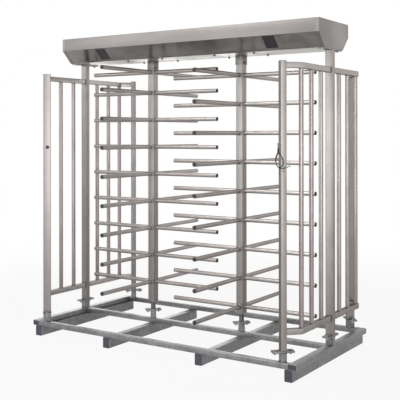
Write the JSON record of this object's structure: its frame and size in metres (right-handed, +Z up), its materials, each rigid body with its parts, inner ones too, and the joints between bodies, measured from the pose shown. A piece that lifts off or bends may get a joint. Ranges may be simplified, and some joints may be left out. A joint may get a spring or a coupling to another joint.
{
  "type": "full height turnstile",
  "caption": "Double full height turnstile on a movable steel skid: rotors with four rows of arms between barred side fences under a common canopy.",
  "frame": {"origin": "on the floor under the middle of the skid, half way between the two rotors", "axes": "+Z up, +X along the canopy from the left rotor to the right one, +Y towards the back"},
  "size_m": [2.4, 1.264, 2.427],
  "materials": {
    "stainless_tube": "brushed",
    "canopy_sheet": "brushed",
    "base_steel": "mill",
    "fastener_steel": "zinc plated",
    "turned_steel": "turned",
    "cap_plastic": "matte",
    "window_pane": "smoked gloss",
    "lamp_housing": "matte",
    "control_box_paint": "powder coated",
    "bush_bronze": "machined",
    "bearing_iron": "cast",
    "head_plate_steel": "mill",
    "dark_housing": "satin black",
    "gear_steel": "machined",
    "lead_jacket": "satin",
    "gland_plastic": "matte",
    "plug_plastic": "matte",
    "status_lens": "gloss"
  },
  "bodies": {
    "frame": {"base_end_tubes": "base_steel", "base_rails": "base_steel", "base_runners": "base_steel", "canopy_back_panel": "canopy_sheet", "canopy_end_plates": "canopy_sheet", "canopy_front_panel": "canopy_sheet", "canopy_lid": "canopy_sheet", "canopy_tray": "canopy_sheet", "control_box": "control_box_paint", "corner_back_left_post": "stainless_tube", "corner_back_right_post": "stainless_tube", "corner_front_left_post": "stainless_tube", "corner_front_right_post": "stainless_tube", "corner_post_caps": "stainless_tube", "damper_bodies": "dark_housing", "fence_angled_rails": "stainless_tube", "fence_bars": "stainless_tube", "fence_straight_rails": "stainless_tube", "foot_bolts_and_nuts": "fastener_steel", "foot_bushes": "bush_bronze", "foot_spindles": "turned_steel", "foot_stubs": "base_steel", "head_bearings": "bearing_iron", "head_plates": "head_plate_steel", "indicator_lamps": "lamp_housing", "indicator_windows": "window_pane", "lead_gland": "gland_plastic", "lower_foot_plates": "base_steel", "mid_left_post": "stainless_tube", "mid_post_top_plates": "stainless_tube", "mid_right_post": "stainless_tube", "pawl_pins": "turned_steel", "pawl_springs": "turned_steel", "post_hole_plug": "plug_plastic", "reader_lead": "lead_jacket", "solenoid_bodies": "dark_housing", "status_light": "status_lens", "top_plate_bolts_and_nuts": "fastener_steel", "tray_screws": "fastener_steel", "upper_foot_plates": "stainless_tube"},
    "left_rotor": {"left_rotor_column": "stainless_tube", "left_rotor_sleeve": "stainless_tube", "left_rotor_arms": "stainless_tube", "left_arm_caps": "cap_plastic", "left_drive_shaft": "turned_steel", "left_lock_disc": "gear_steel", "left_rotor_gear": "gear_steel"},
    "left_pawl": {"left_lock_pawl": "gear_steel"},
    "left_plunger": {"left_lock_plunger": "turned_steel"},
    "left_damper": {"left_damper_pinion": "gear_steel"},
    "right_rotor": {"right_rotor_column": "stainless_tube", "right_rotor_sleeve": "stainless_tube", "right_rotor_arms": "stainless_tube", "right_arm_caps": "cap_plastic", "right_drive_shaft": "turned_steel", "right_lock_disc": "gear_steel", "right_rotor_gear": "gear_steel"},
    "right_pawl": {"right_lock_pawl": "gear_steel"},
    "right_plunger": {"right_lock_plunger": "turned_steel"},
    "right_damper": {"right_damper_pinion": "gear_steel"}
  },
  "joints": [
    {"name": "left_rotor_spin", "type": "hinge", "parent": "frame", "child": "left_rotor", "pos_m": [-0.425, 0, 0.258], "axis": [0, 0, 1], "continuous": true},
    {"name": "left_pawl_swing", "type": "hinge", "parent": "frame", "child": "left_pawl", "pos_m": [-0.357, -0.05, 2.289], "axis": [0, 0, 1], "range_deg": [0, 9], "stiffness_Nm_per_rad": 0.3},
    {"name": "left_plunger_slide", "type": "slide", "parent": "frame", "child": "left_plunger", "axis": [-1, 0, 0], "range_m": [0, 0.006]},
    {"name": "left_damper_spin", "type": "hinge", "parent": "frame", "child": "left_damper", "pos_m": [-0.505, 0, 2.3], "axis": [0, 0, 1], "continuous": true},
    {"name": "right_rotor_spin", "type": "hinge", "parent": "frame", "child": "right_rotor", "pos_m": [0.425, 0, 0.258], "axis": [0, 0, 1], "continuous": true},
    {"name": "right_pawl_swing", "type": "hinge", "parent": "frame", "child": "right_pawl", "pos_m": [0.493, -0.05, 2.289], "axis": [0, 0, 1], "range_deg": [0, 9], "stiffness_Nm_per_rad": 0.3},
    {"name": "right_plunger_slide", "type": "slide", "parent": "frame", "child": "right_plunger", "axis": [-1, 0, 0], "range_m": [0, 0.006]},
    {"name": "right_damper_spin", "type": "hinge", "parent": "frame", "child": "right_damper", "pos_m": [0.345, 0, 2.3], "axis": [0, 0, 1], "continuous": true}
  ],
  "couplings": [
    {"joint": "left_plunger_slide", "follows": "left_pawl_swing", "m_per_rad": 0.038},
    {"joint": "left_damper_spin", "follows": "left_rotor_spin", "ratio": -3},
    {"joint": "right_plunger_slide", "follows": "right_pawl_swing", "m_per_rad": 0.038},
    {"joint": "right_damper_spin", "follows": "right_rotor_spin", "ratio": -3}
  ]
}
